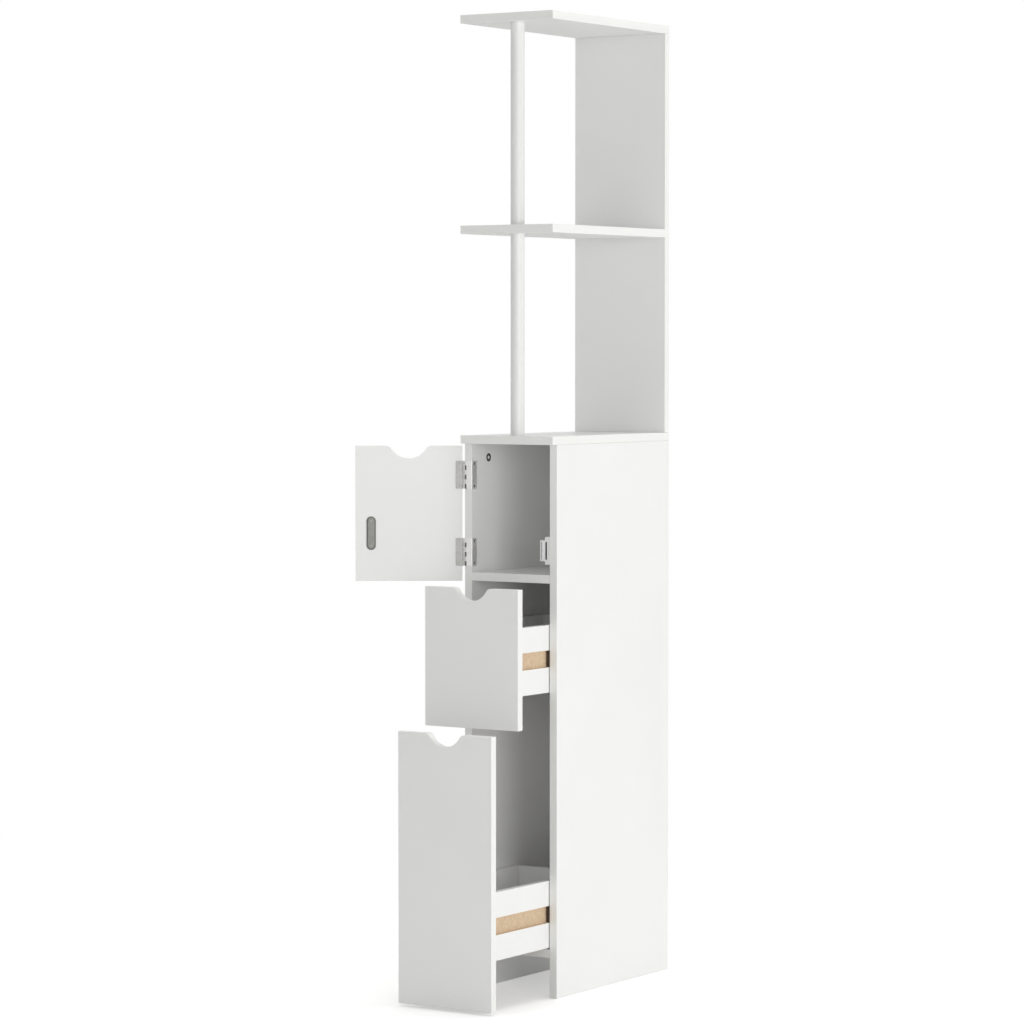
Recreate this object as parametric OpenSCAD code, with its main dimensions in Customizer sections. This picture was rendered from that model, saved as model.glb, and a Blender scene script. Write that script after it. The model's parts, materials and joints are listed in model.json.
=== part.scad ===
// Slim bathroom storage tower. A cabinet with a hinged door stands over a small and a
// large drawer, and an open hutch with two shelves on round posts stands on the cabinet.
// Frame: X runs across from the outer face of the left side panel, Y runs back from the
// front edges of the side panels, and Z runs up from the floor. All sizes are millimetres.
// The door and both drawers are drawn partly open.

/* [Carcass] */
// Width of the cabinet and of each board that spans it
body_w = 196; // [186:1:230]
// Depth of the side panels
body_d = 386; // [350:1:430]
// Height of the cabinet with its top
cabinet_h = 1000; // [980:1:1060]
// Thickness of the coated boards
board_t = 15; // [14:0.5:18]
// Height of the open space under the bottom panel
foot_h = 72; // [50:1:90]
// Thickness of the hardboard back
back_t = 3; // [2.5:0.5:5]
// Distance of the hardboard back from the rear edges of the side panels
back_inset = 10; // [6:1:20]
// Depth of the grooves that hold the hardboard back
back_groove = 6; // [3:0.5:8]

/* [Hutch] */
// Overhang of the three upper boards in front of the side panels
front_overhang = 14; // [4:1:30]
// Clear height of the lower open bay
lower_bay_h = 360; // [250:1:420]
// Clear height of the upper open bay
upper_bay_h = 360; // [250:1:420]
// Diameter of the round posts
post_d = 25; // [20:1:35]
// Distance of the post axis from the front edges of the upper boards
post_setback = 37; // [24:1:60]

/* [Fronts] */
// Thickness of the door and of the drawer fronts
front_t = 15; // [14:0.5:18]
// Height of the large drawer front above the floor
floor_gap = 5; // [2:1:15]
// Gap between two fronts that meet
front_gap = 3; // [2:0.5:5]
// Gap between the door and the cabinet top
door_top_gap = 4; // [2:0.5:6]
// Height of the large drawer front
large_front_h = 480; // [460:1:500]
// Height of the small drawer front
small_front_h = 247; // [230:1:260]
// Gap behind a closed drawer front
front_rest = 0.5; // [0.3:0.1:2]
// Half of the width of the finger scoop in each front's upper edge
scoop_half_w = 41; // [36:1:50]
// Depth of the finger scoop
scoop_depth = 23; // [18:1:30]
// Radius of the rounded shoulders of the finger scoop
scoop_shoulder_r = 11.5; // [6:0.5:14]
// Distance by which the door reaches below the cupboard shelf
shelf_cover = 1; // [0:0.5:5]
// Width of the door
door_w = 192; // [180:1:194]
// Angle by which the door stands open
door_open = 145; // [0:1:175]

/* [Drawers] */
// Thickness of the drawer sides and backs
side_t = 12; // [11:0.5:14]
// Height of the drawer sides and backs
side_h = 120; // [100:1:140]
// Gap between a drawer side and the side panel
side_gap = 1.5; // [1:0.1:3]
// Height of the small drawer box above the lower edge of its front
small_box_lift = 57.5; // [30:0.5:90]
// Gap between the large drawer box and the bottom panel
drawer_floor_gap = 3; // [2:0.5:10]
// Free space behind a closed drawer box
drawer_rear_gap = 33; // [25:1:80]
// Height of the runner groove in the drawer sides
groove_h = 30; // [24:1:40]
// Depth of the runner groove
groove_depth = 7; // [5:0.5:8]
// Thickness of the drawer bottoms
bottom_t = 3; // [2.5:0.5:4]
// Height of a drawer bottom above the lower edge of its box
bottom_lift = 8; // [5:0.5:12]
// Depth to which a drawer bottom is housed on all four sides
bottom_groove = 4; // [2:0.5:5]
// Distance by which the small drawer stands open
small_open = 111; // [0:1:250]
// Distance by which the large drawer stands open
large_open = 195; // [0:1:250]

/* [Runners] */
// Play of a runner at the floor of its groove
runner_side_play = 0.5; // [0.3:0.1:1]
// Play above a runner
runner_top_play = 0.3; // [0.2:0.1:0.8]
// Play below a runner
runner_low_play = 0.7; // [0.3:0.1:1.5]
// Distance of a runner's front end from the front of the side panels
runner_front_inset = 1; // [0:1:20]
// Free space behind a runner
runner_rear_gap = 21; // [10:1:60]

/* [Hinges] */
// Height of a hinge
hinge_h = 50; // [40:1:64]
// Height left free between a hinge and the shelf's level, as a share of all that the hinges leave
hinge_share = 0.1; // [0:0.01:0.3]
// Thickness of the hinge leaves
leaf_t = 1; // [0.8:0.1:1.4]
// Radius of the hinge pins
pin_r = 1; // [0.8:0.1:1.5]
// Gap between the two leaves when the door is closed
leaf_gap = 0.4; // [0.3:0.1:0.8]
// Number of knuckles on a hinge, shared by its two leaves
knuckle_count = 6; // [4:2:8]
// Reach of the frame leaf's flange along the inside of the side panel
flange_w = 14.5; // [12:0.5:24]
// Reach of the door leaf over the door
door_leaf_w = 13; // [11:1:20]
// Depth of the slots in the frame leaf that the door leaf's knuckles turn in
slot_w = 4; // [2:0.5:6]
// Distance of the hinge screws from the hinge's ends
hinge_screw_end = 5; // [4:0.5:9]

/* [Magnetic catch] */
// Height of the catch's middle above the cupboard shelf
catch_lift = 43; // [35:1:80]
// Distance by which the catch stands out from the side panel
catch_reach = 21; // [19:0.5:26]
// Height of the catch's body
catch_h = 37; // [34:1:44]
// Depth of the catch from front to back
catch_d = 14; // [11:0.5:20]
// Height of the catch's base with its two ears
catch_base_h = 49; // [48:1:60]
// Thickness of the catch's base
catch_base_t = 10.5; // [5:0.5:12]
// Wall of the catch's body
catch_wall = 2.5; // [1.5:0.5:3]
// Distance of the catch's mouth from the side panel
mouth_inset = 6.5; // [5:0.5:7.5]
// Thickness of the two steel pole plates
pole_t = 1.2; // [0.8:0.2:1.6]
// Height of the pole plates and of the magnet between them
pole_h = 31; // [24:1:32]
// Distance by which the pole plates stand out of the catch
pole_proud = 0.5; // [0.2:0.1:1]
// Gap between the pole plates and the strike plate when the door is closed
strike_gap = 0.3; // [0.2:0.1:1]
// Height of the strike plate's middle above the catch's middle
strike_rise = 27; // [0:1:30]
// Distance of the strike plate's middle from the catch's middle towards the hinges
strike_offset = 2.5; // [0:0.5:4]
// Width of the strike plate
strike_w = 16.5; // [14:0.5:20]
// Length of the strike plate
strike_l = 60; // [44:1:70]
// Thickness of the strike plate
strike_t = 2.1; // [1.8:0.1:2.4]
// Width of the strike plate's sloping rim
strike_rim = 2.5; // [1:0.5:3]

/* [Fasteners] */
// Radius of the cam locks
cam_r = 7.5; // [6:0.5:8]
// Distance of a cam lock's middle from the joint that it draws together
cam_inset = 26; // [22:1:34]
// Board left behind a cam lock
cam_web = 2.5; // [2:0.5:4]
// Distance of the cam locks from the front and rear edges of the boards
cam_end = 55; // [35:1:80]
// Distance of the cam locks and shelf screws from the middle of the hutch
hutch_cam_spread = 50; // [35:1:70]
// Radius of the cam bolts' threads
bolt_thread_r = 2.5; // [2:0.5:3]
// Radius of the cam bolts' shafts
bolt_shaft_r = 2; // [1.5:0.5:2]
// Radius of the cam bolts' heads
bolt_head_r = 2.8; // [2.6:0.1:3]
// Board left beyond the end of a cam bolt or dowel
blind_web = 4; // [2:0.5:5]
// Radius of the wooden dowels
dowel_r = 4; // [3:0.5:5]
// Length of the wooden dowels
dowel_l = 30; // [24:1:40]
// Distance of a dowel from the cam lock beside it
dowel_step = 32; // [24:1:48]
// Radius of the studs in the posts
stud_r = 3; // [2:0.5:4]
// Depth to which a stud or screw enters a post
post_bite = 30; // [20:1:50]

/* [Hidden] */
$fn = 48;
// Facets of the large round shapes
fine_fn = 96;

// Overrun of a cutter past the face that it opens
cut = 1;
// Clearance of a fastener in its hole and of a panel in its groove
fit = 0.05;
// Free depth past the end of a fastener in a blind hole
end_play = 0.5;
// Colour of the coated boards, the raw core, the runners and the metal parts
board_colour = [0.93, 0.93, 0.92];
core_colour = [0.80, 0.68, 0.53];
runner_colour = [0.30, 0.21, 0.15];
steel_colour = [0.72, 0.73, 0.74];

// Heights of the boards' undersides
carcass_top_z = cabinet_h - board_t;
middle_z = cabinet_h + lower_bay_h;
top_z = middle_z + board_t + upper_bay_h;
small_front_z = floor_gap + large_front_h + front_gap;
door_z = small_front_z + small_front_h + front_gap;
door_h = carcass_top_z - door_top_gap - door_z;
shelf_z = door_z + shelf_cover;
// Front faces of the hardboard back and of the hutch's back panel
back_y = body_d - back_inset - back_t;
hutch_y = body_d - board_t;
post_y = post_setback - front_overhang;

// A drawer is [height of its front's lower edge, height of its front, height of its box's
// lower edge, distance by which it stands open]
small = [small_front_z, small_front_h, small_front_z + small_box_lift, small_open];
large = [floor_gap, large_front_h, foot_h + board_t + drawer_floor_gap, large_open];
// Outer face of a drawer's left side, length of the sides, and height of the plain lands
// above and below the runner groove
side_x = board_t + side_gap;
side_l = back_y - drawer_rear_gap + front_rest;
land_h = (side_h - groove_h) / 2;
// A runner fills its groove up to its play
runner_t = side_gap + groove_depth - runner_side_play;
runner_h = groove_h - runner_top_play - runner_low_play;
runner_l = back_y - runner_rear_gap - runner_front_inset;
runner_screw_r = 1.6;
runner_screw_head_r = 3.2;
runner_screw_l = runner_t + board_t - blind_web;
// Inset of a runner's first and last screws from its ends
runner_screw_inset = 30;
// Length and drop of the taper at a runner's front end
runner_lead_l = runner_t / 2;
runner_lead_t = 1;

// The hinge axis lies in the middle plane of the door leaf, as far out as lets the knuckles
// turn past the corner of the side panel. The door starts beside the knuckles
pin_play = 0.05;
knuckle_r = pin_r + pin_play + leaf_t;
knuckle_clear = 0.2;
knuckle_gap = 0.3;
knuckle_pitch = hinge_h / knuckle_count;
leaf_start = knuckle_r + knuckle_clear;
hinge_y = -(1.5 * leaf_t + leaf_gap);
hinge_x = -sqrt(max(pow(leaf_start, 2) - pow(hinge_y, 2), 0));
door_x = hinge_x + leaf_start;
door_y = -(2 * leaf_t + leaf_gap);
// The lower hinge's frame leaf stands clear above the shelf, and the upper hinge is set as far
// from the door's other end
hinge_room = door_h - 2 * (shelf_cover + board_t + hinge_h);
hinge_inset = shelf_cover + board_t + hinge_h / 2 + hinge_share * hinge_room;
hinge_zs = [door_z + door_h - hinge_inset, door_z + hinge_inset];
hinge_corner_r = 2;
hinge_screw_r = 1.2;
hinge_screw_head_r = 2.3;
hinge_screw_l = board_t - blind_web;
// Distance of the door leaf's screws from its far edge
door_leaf_screw_inset = 5.5;

// The catch is set so that its pole plates all but meet the strike plate
catch_z = shelf_z + board_t + catch_lift;
catch_y = door_y + strike_t + strike_gap + pole_proud;
// The outer plate lies against the mouth's wall, and the inner one leaves a gap beside it
mouth_gap = 2.2;
pole_outer_x = catch_reach - catch_wall;
pole_inner_x = mouth_inset + mouth_gap;
pole_d = catch_d - catch_wall;
magnet_sink = 0.5;
catch_screw_r = 1.5;
catch_screw_head_r = 2.6;
catch_screw_head_h = 1.8;
catch_screw_z = (catch_h + catch_base_h) / 4;
strike_x = body_w - board_t - (pole_inner_x + pole_outer_x) / 2 - strike_offset;
strike_z = catch_z + strike_rise;
strike_slope_t = 1;
strike_land_t = strike_t - strike_slope_t;
strike_screw_inset = 8;

// Cam joints: sinking of a cam below its board's face, and depth of thread in the other board
cam_sink = 0.2;
// A cam's face is recessed between its rim and a boss that holds the cross for the driver
cam_rim = 0.8;
cam_boss_r = 3.2;
cam_recess = 1.2;
cam_cross_reach = 2.5;
cam_cross_half_w = 0.6;
cam_cross_depth = 1.5;
cam_chamber_r = 0.6 * cam_r;
bolt_bite = board_t - blind_web;
bolt_head_l = 2.5;
bolt_seat_play = 0.3;
dowel_bite = board_t - blind_web;
dowel_chamfer = 1;

// Cross recess of a screw: half width, depth, and reach as a share of the head's radius
cross_half_w = 0.3;
cross_depth = 0.7;
cross_share = 0.6;

// Screws and nails that are not given above
shelf_screw_r = 2.5;
shelf_screw_head_r = 5;
shelf_screw_l = 50;
back_screw_r = 1.75;
back_screw_head_r = 3.5;
back_screw_l = 35;
nail_r = 0.8;
nail_head_r = 2.5;
nail_head_h = 0.8;
nail_l = 20;
// Distance of the outer nails from the side panels
nail_inset = 20;

// ---- Shared shapes ----

// Box between its lowest and highest corners
module block(lo, hi) {
    translate(lo) cube(hi - lo);
}

// The right-hand side is the mirror image of the left
module mirrored() {
    translate([body_w, 0, 0]) mirror([1, 0, 0]) children();
}

module both_sides() {
    children();
    mirrored() children();
}

// Copies of a child in a list of frames, each [origin, rotation]
module placed(frames) {
    for (f = frames) translate(f[0]) rotate(f[1]) children();
}

module round_rect(w, h, r) {
    translate([r, 0]) square([w - 2 * r, h]);
    translate([0, r]) square([w, h - 2 * r]);
    for (x = [r, w - r], y = [r, h - r]) translate([x, y]) circle(r);
}

// Cross recess that opens upwards at Z = 0, such as in a screw head
module cross_recess(reach, half_w, depth) {
    for (a = [0, 90]) rotate(a)
        translate([-reach, -half_w, -depth]) cube([2 * reach, 2 * half_w, depth + cut]);
}

module screw_recess(head_r) {
    cross_recess(cross_share * head_r, cross_half_w, cross_depth);
}

// Countersunk screw along -Z with its head flush at Z = 0
module flat_screw(r, head_r, l) {
    difference() {
        union() {
            translate([0, 0, r - head_r]) cylinder(r1 = r, r2 = head_r, h = head_r - r);
            translate([0, 0, -l]) cylinder(r = r, h = l);
        }
        screw_recess(head_r);
    }
}

module flat_screw_hole(r, head_r, l) {
    translate([0, 0, r - head_r]) cylinder(r1 = r + fit, r2 = head_r + fit, h = head_r - r);
    cylinder(r = head_r + fit, h = cut);
    translate([0, 0, -l - end_play]) cylinder(r = r + fit, h = l + end_play);
}

// Pan-headed screw or nail along -Z whose head stands on Z = 0
module pan_screw(r, head_r, head_h, l, recess = true) {
    difference() {
        union() {
            translate([0, 0, -l]) cylinder(r = r, h = l + head_h / 2);
            cylinder(r = head_r, h = head_h);
        }
        if (recess) translate([0, 0, head_h]) screw_recess(head_r);
    }
}

module pan_screw_hole(r, l) {
    translate([0, 0, -l - end_play]) cylinder(r = r + fit, h = l + end_play + cut);
}

// ---- Cam joints ----
// A joint's frame has its origin in the contact plane, at the middle of the edge board's
// thickness t. +Z points into the face board that takes the bolt's thread, and +X towards
// the face of the edge board that the cam is turned from.

module cam_seat(t) {
    translate([t / 2 + cut, 0, -cam_inset]) rotate([0, -90, 0])
        cylinder(r = cam_r + fit, h = t - cam_web + cut);
    translate([0, 0, -cam_inset]) cylinder(r = bolt_head_r + bolt_seat_play, h = cam_inset + cut);
}

module bolt_hole() {
    translate([0, 0, -cut]) cylinder(r = bolt_thread_r + fit, h = bolt_bite + end_play + cut);
}

// Cam with a recessed face round a boss, a round chamber for the bolt's head, and a slot
// through its rim for the bolt's shaft
module cam_lock(t) {
    axis_depth = t / 2 - cam_sink;
    head_space = bolt_head_r + bolt_seat_play;
    shaft_space = bolt_shaft_r + bolt_seat_play;
    translate([axis_depth, 0, -cam_inset]) rotate([0, -90, 0]) difference() {
        cylinder(r = cam_r, h = t - cam_web - cam_sink);
        cam_face();
        translate([0, 0, axis_depth - head_space]) cylinder(r = cam_chamber_r, h = 2 * head_space);
        translate([0, -shaft_space, axis_depth - shaft_space])
            cube([cam_r + cut, 2 * shaft_space, 2 * shaft_space]);
    }
}

// What is cut from a cam's face, which looks down at Z = 0
module cam_face() {
    translate([0, 0, -cut]) difference() {
        cylinder(r = cam_r - cam_rim, h = cam_recess + cut);
        cylinder(r = cam_boss_r, h = cam_recess + cut);
    }
    mirror([0, 0, 1]) cross_recess(cam_cross_reach, cam_cross_half_w, cam_cross_depth);
}

module cam_bolt() {
    cylinder(r = bolt_thread_r, h = bolt_bite);
    translate([0, 0, -cam_inset]) cylinder(r = bolt_shaft_r, h = cam_inset + cut);
    translate([0, 0, -cam_inset - bolt_head_l / 2]) cylinder(r = bolt_head_r, h = bolt_head_l);
}

// Wooden dowel in the same frame, with chamfered ends
module dowel() {
    translate([0, 0, dowel_bite - dowel_l]) {
        translate([0, 0, dowel_chamfer]) cylinder(r = dowel_r, h = dowel_l - 2 * dowel_chamfer);
        cylinder(r1 = dowel_r - dowel_chamfer, r2 = dowel_r, h = dowel_chamfer);
        translate([0, 0, dowel_l - dowel_chamfer])
            cylinder(r1 = dowel_r, r2 = dowel_r - dowel_chamfer, h = dowel_chamfer);
    }
}

module dowel_hole() {
    translate([0, 0, dowel_bite - dowel_l - end_play])
        cylinder(r = dowel_r + fit, h = dowel_l + 2 * end_play);
}

// Places of the cams and dowels along a board of depth d
function cam_rows(d) = [cam_end, d - cam_end];
function dowel_rows(d) = [cam_end + dowel_step, d - cam_end - dowel_step];

// Frames on the left of the cabinet: the side panel's top end, and the end of a level
// board whose underside is at z
function top_frames(rows) = [for (y = rows) [[board_t / 2, y, carcass_top_z], [0, 0, 0]]];
function level_frames(z, rows) = [for (y = rows) [[board_t, y, z + board_t / 2], [180, 90, 0]]];

// Frames at the hutch back panel's upper and lower ends, with the cams behind
function hutch_frames(z, turn, spread) =
    [for (s = [-1, 1]) [[body_w / 2 + s * spread, hutch_y + board_t / 2, z], [turn, 0, 90]]];
hutch_cam_frames = concat(hutch_frames(top_z, 0, hutch_cam_spread),
                          hutch_frames(cabinet_h, 180, hutch_cam_spread));
hutch_dowel_spread = hutch_cam_spread - dowel_step;
hutch_dowel_frames = concat(hutch_frames(top_z, 0, hutch_dowel_spread),
                            hutch_frames(cabinet_h, 180, hutch_dowel_spread));
carcass_cam_frames = concat(top_frames(cam_rows(body_d)), level_frames(shelf_z, cam_rows(back_y)),
                            level_frames(foot_h, cam_rows(back_y)));
carcass_dowel_frames = concat(top_frames(dowel_rows(body_d)),
                              level_frames(shelf_z, [back_y / 2]),
                              level_frames(foot_h, [back_y / 2]));

// Screws through the hutch back panel into the middle shelf, and through a post's board
middle_screw_frames = [for (s = [-1, 1])
    [[body_w / 2 + s * hutch_cam_spread, body_d, middle_z + board_t / 2], [-90, 0, 0]]];
post_screw_frame = [[body_w / 2, post_y, carcass_top_z], [180, 0, 0]];

// Nails through the hardboard back into the shelf and the bottom panel
nail_frames = [for (z = [shelf_z, foot_h], s = [-1, 0, 1])
    [[body_w / 2 + s * (body_w / 2 - board_t - nail_inset), back_y + back_t, z + board_t / 2], [-90, 0, 0]]];

// ---- Cabinet ----

// Left side panel without the holes of its hinges. The groove for the back runs its full length
module side_panel() {
    difference() {
        block([0, 0, 0], [board_t, body_d, carcass_top_z]);
        block([board_t - back_groove, back_y - fit, -cut],
              [board_t + cut, back_y + back_t + fit, carcass_top_z + cut]);
        placed(top_frames(cam_rows(body_d))) cam_seat(board_t);
        placed(carcass_dowel_frames) dowel_hole();
        placed(level_frames(shelf_z, cam_rows(back_y))) bolt_hole();
        placed(level_frames(foot_h, cam_rows(back_y))) bolt_hole();
        for (d = [small, large]) placed(runner_screw_frames(d))
            flat_screw_hole(runner_screw_r, runner_screw_head_r, runner_screw_l);
    }
}

module left_side_panel() {
    color(board_colour) difference() {
        side_panel();
        placed(flange_screw_frames) flat_screw_hole(hinge_screw_r, hinge_screw_head_r, hinge_screw_l);
    }
}

module right_side_panel() {
    color(board_colour) mirrored() difference() {
        side_panel();
        placed(catch_screw_frames) pan_screw_hole(catch_screw_r, catch_base_t + board_t - blind_web);
    }
}

module cabinet_top() {
    color(board_colour) difference() {
        block([0, -front_overhang, carcass_top_z], [body_w, body_d, cabinet_h]);
        both_sides() placed(top_frames(cam_rows(body_d))) bolt_hole();
        both_sides() placed(top_frames(dowel_rows(body_d))) dowel_hole();
        placed(hutch_frames(cabinet_h, 180, hutch_cam_spread)) bolt_hole();
        placed(hutch_frames(cabinet_h, 180, hutch_dowel_spread)) dowel_hole();
        placed([post_screw_frame]) flat_screw_hole(shelf_screw_r, shelf_screw_head_r, shelf_screw_l);
    }
}

// Board between the side panels with its underside at z, from their front edges to the back
module level_board(z) {
    difference() {
        block([board_t, 0, z], [body_w - board_t, back_y, z + board_t]);
        both_sides() placed(level_frames(z, cam_rows(back_y))) cam_seat(board_t);
        both_sides() placed(level_frames(z, [back_y / 2])) dowel_hole();
        placed(nail_frames) pan_screw_hole(nail_r, nail_l);
    }
}

module cupboard_shelf() {
    color(board_colour) level_board(shelf_z);
}

module bottom_panel() {
    color(board_colour) level_board(foot_h);
}

// Hardboard back, slid into the side panels' grooves from below and nailed to both boards
module back_board() {
    reach = board_t - back_groove + end_play;
    color(board_colour) difference() {
        block([reach, back_y, foot_h], [body_w - reach, back_y + back_t, carcass_top_z]);
        placed(nail_frames) pan_screw_hole(nail_r, nail_l);
    }
}

module back_nails() {
    color(steel_colour) placed(nail_frames) pan_screw(nail_r, nail_head_r, nail_head_h, nail_l, false);
}

module carcass_cams() {
    color(steel_colour) both_sides() placed(carcass_cam_frames) cam_lock(board_t);
}

module carcass_cam_bolts() {
    color(steel_colour) both_sides() placed(carcass_cam_frames) cam_bolt();
}

module carcass_dowels() {
    color(core_colour) both_sides() placed(carcass_dowel_frames) dowel();
}

// ---- Hutch ----

// Board that stands on the cabinet top, flush with the rear, and carries both shelves
module hutch_back_panel() {
    color(board_colour) difference() {
        block([0, hutch_y, cabinet_h], [body_w, body_d, top_z]);
        placed(hutch_cam_frames) cam_seat(board_t);
        placed(hutch_dowel_frames) dowel_hole();
        placed(middle_screw_frames) flat_screw_hole(shelf_screw_r, shelf_screw_head_r, shelf_screw_l);
    }
}

module middle_shelf() {
    color(board_colour) difference() {
        block([0, -front_overhang, middle_z], [body_w, hutch_y, middle_z + board_t]);
        placed(middle_screw_frames) flat_screw_hole(shelf_screw_r, shelf_screw_head_r, shelf_screw_l);
        translate([body_w / 2, post_y, middle_z - cut]) cylinder(r = stud_r + fit, h = board_t + 2 * cut);
    }
}

module top_shelf() {
    color(board_colour) difference() {
        block([0, -front_overhang, top_z], [body_w, body_d, top_z + board_t]);
        placed(hutch_frames(top_z, 0, hutch_cam_spread)) bolt_hole();
        placed(hutch_frames(top_z, 0, hutch_dowel_spread)) dowel_hole();
        translate([body_w / 2, post_y, top_z - cut])
            cylinder(r = stud_r + fit, h = board_t - blind_web + end_play + cut);
    }
}

module hutch_cams() {
    color(steel_colour) placed(hutch_cam_frames) cam_lock(board_t);
}

module hutch_cam_bolts() {
    color(steel_colour) placed(hutch_cam_frames) cam_bolt();
}

module hutch_dowels() {
    color(core_colour) placed(hutch_dowel_frames) dowel();
}

module middle_shelf_screws() {
    color(steel_colour) placed(middle_screw_frames)
        flat_screw(shelf_screw_r, shelf_screw_head_r, shelf_screw_l);
}

// Round post from z up to the board above, bored at both ends
module post(z, h, low_bore_r, low_bore_l) {
    translate([body_w / 2, post_y, z]) difference() {
        cylinder(d = post_d, h = h, $fn = fine_fn);
        translate([0, 0, -cut]) cylinder(r = low_bore_r + fit, h = low_bore_l + end_play + cut);
        translate([0, 0, h - post_bite - end_play])
            cylinder(r = stud_r + fit, h = post_bite + end_play + cut);
    }
}

module lower_post() {
    color(board_colour) post(cabinet_h, lower_bay_h, shelf_screw_r, shelf_screw_l - board_t);
}

module upper_post() {
    color(board_colour) post(middle_z + board_t, upper_bay_h, stud_r, post_bite);
}

// One stud joins both posts through the middle shelf, the other enters the top shelf
module post_studs() {
    color(steel_colour) translate([body_w / 2, post_y, 0]) {
        translate([0, 0, middle_z - post_bite]) cylinder(r = stud_r, h = board_t + 2 * post_bite);
        translate([0, 0, top_z - post_bite]) cylinder(r = stud_r, h = post_bite + board_t - blind_web);
    }
}

module post_screw() {
    color(steel_colour) placed([post_screw_frame])
        flat_screw(shelf_screw_r, shelf_screw_head_r, shelf_screw_l);
}

// ---- Drawer runners ----

function runner_z(d) = d[2] + land_h + runner_low_play;
function runner_screw_frames(d) =
    [for (y = [runner_screw_inset, runner_l / 2, runner_l - runner_screw_inset])
        [[board_t + runner_t, runner_front_inset + y, runner_z(d) + runner_h / 2], [0, 90, 0]]];

// Strip on the left side panel that a drawer's grooved side slides on, tapered at the front
module runner(d) {
    difference() {
        translate([board_t, runner_front_inset, runner_z(d)]) linear_extrude(runner_h)
            polygon([[0, 0], [runner_t - runner_lead_t, 0], [runner_t, runner_lead_l],
                     [runner_t, runner_l], [0, runner_l]]);
        placed(runner_screw_frames(d)) flat_screw_hole(runner_screw_r, runner_screw_head_r, runner_screw_l);
    }
}

module upper_left_runner() {
    color(runner_colour) runner(small);
}

module upper_right_runner() {
    color(runner_colour) mirrored() runner(small);
}

module lower_left_runner() {
    color(runner_colour) runner(large);
}

module lower_right_runner() {
    color(runner_colour) mirrored() runner(large);
}

module runner_screws() {
    color(steel_colour) both_sides() for (d = [small, large]) placed(runner_screw_frames(d))
        flat_screw(runner_screw_r, runner_screw_head_r, runner_screw_l);
}

// ---- Magnetic catch ----
// Drawn on the left side panel and mirrored to the right

catch_screw_frames = [for (s = [-1, 1])
    [[board_t + catch_base_t, catch_y + catch_d / 2, catch_z + s * catch_screw_z], [0, 90, 0]]];

module catch_housing() {
    color([0.92, 0.92, 0.90]) mirrored() difference() {
        union() {
            block([board_t, catch_y, catch_z - catch_base_h / 2],
                  [board_t + catch_base_t, catch_y + catch_d, catch_z + catch_base_h / 2]);
            block([board_t, catch_y, catch_z - catch_h / 2],
                  [board_t + catch_reach, catch_y + catch_d, catch_z + catch_h / 2]);
        }
        block([board_t + mouth_inset, catch_y - cut, catch_z - pole_h / 2 - fit],
              [board_t + pole_outer_x + fit, catch_y + pole_d + fit, catch_z + pole_h / 2 + fit]);
        placed(catch_screw_frames) pan_screw_hole(catch_screw_r, catch_base_t + board_t - blind_web);
    }
}

module catch_magnet() {
    color([0.78, 0.77, 0.77]) mirrored()
        block([board_t + pole_inner_x + pole_t + fit, catch_y + magnet_sink, catch_z - pole_h / 2],
              [board_t + pole_outer_x - pole_t - fit, catch_y + pole_d, catch_z + pole_h / 2]);
}

module catch_pole_plates() {
    color([0.45, 0.45, 0.46]) mirrored() for (x = [pole_inner_x, pole_outer_x - pole_t])
        block([board_t + x, catch_y - pole_proud, catch_z - pole_h / 2],
              [board_t + x + pole_t, catch_y + pole_d, catch_z + pole_h / 2]);
}

module catch_screws() {
    color(steel_colour) mirrored() placed(catch_screw_frames)
        pan_screw(catch_screw_r, catch_screw_head_r, catch_screw_head_h, catch_base_t + board_t - blind_web);
}

// ---- Hinges ----
// The leaves are drawn about the hinge axis at the hinge's mid-height, with the door closed

flange_screw_frames = [for (z = hinge_zs, s = [-1, 1])
    [[board_t + leaf_t, flange_w / 2, z + s * (hinge_h / 2 - hinge_screw_end)], [0, 90, 0]]];
door_leaf_screw_frames = [for (z = hinge_zs, s = [-1, 1])
    [[door_leaf_w - door_leaf_screw_inset, door_y + leaf_t, z + s * (hinge_h / 2 - hinge_screw_end)],
     [-90, 0, 0]]];

// Every second knuckle from the given one down, each with the tongue that joins it to its
// leaf. The tongue lies behind the axis on the frame leaf and level with it on the door leaf
module knuckles(first, tongue_y) {
    for (k = [first : 2 : knuckle_count - 1])
        translate([0, 0, hinge_h / 2 - (k + 1) * knuckle_pitch + knuckle_gap / 2])
            linear_extrude(knuckle_pitch - knuckle_gap) difference() {
                union() {
                    circle(knuckle_r);
                    translate([0, tongue_y]) square([leaf_start + fit, leaf_t]);
                }
                circle(pin_r + pin_play);
            }
}

// Leaf that covers the front edge of the side panel and wraps onto its inner face
module frame_leaf(z) {
    web_x0 = leaf_start;
    web_x1 = board_t - hinge_x;
    web_y = -leaf_t - hinge_y;
    difference() {
        union() {
            translate([hinge_x, hinge_y, z]) {
                knuckles(0, web_y);
                translate([web_x0, web_y, -hinge_h / 2]) cube([web_x1 - web_x0, leaf_t, hinge_h]);
            }
            translate([board_t, 0, z - hinge_h / 2]) intersection() {
                cylinder(r = leaf_t, h = hinge_h);
                translate([0, -leaf_t, 0]) cube([leaf_t, leaf_t, hinge_h]);
            }
            translate([board_t, 0, z - hinge_h / 2]) rotate([90, 0, 90]) linear_extrude(leaf_t) {
                square([hinge_corner_r, hinge_h]);
                round_rect(flange_w, hinge_h, hinge_corner_r);
            }
        }
        for (k = [1 : 2 : knuckle_count - 1])
            translate([hinge_x, hinge_y - knuckle_r,
                       z + hinge_h / 2 - (k + 1) * knuckle_pitch - knuckle_gap / 2])
                cube([slot_w - hinge_x, 2 * knuckle_r, knuckle_pitch + knuckle_gap]);
        placed(flange_screw_frames) flat_screw_hole(hinge_screw_r, hinge_screw_head_r, hinge_screw_l);
    }
}

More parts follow.
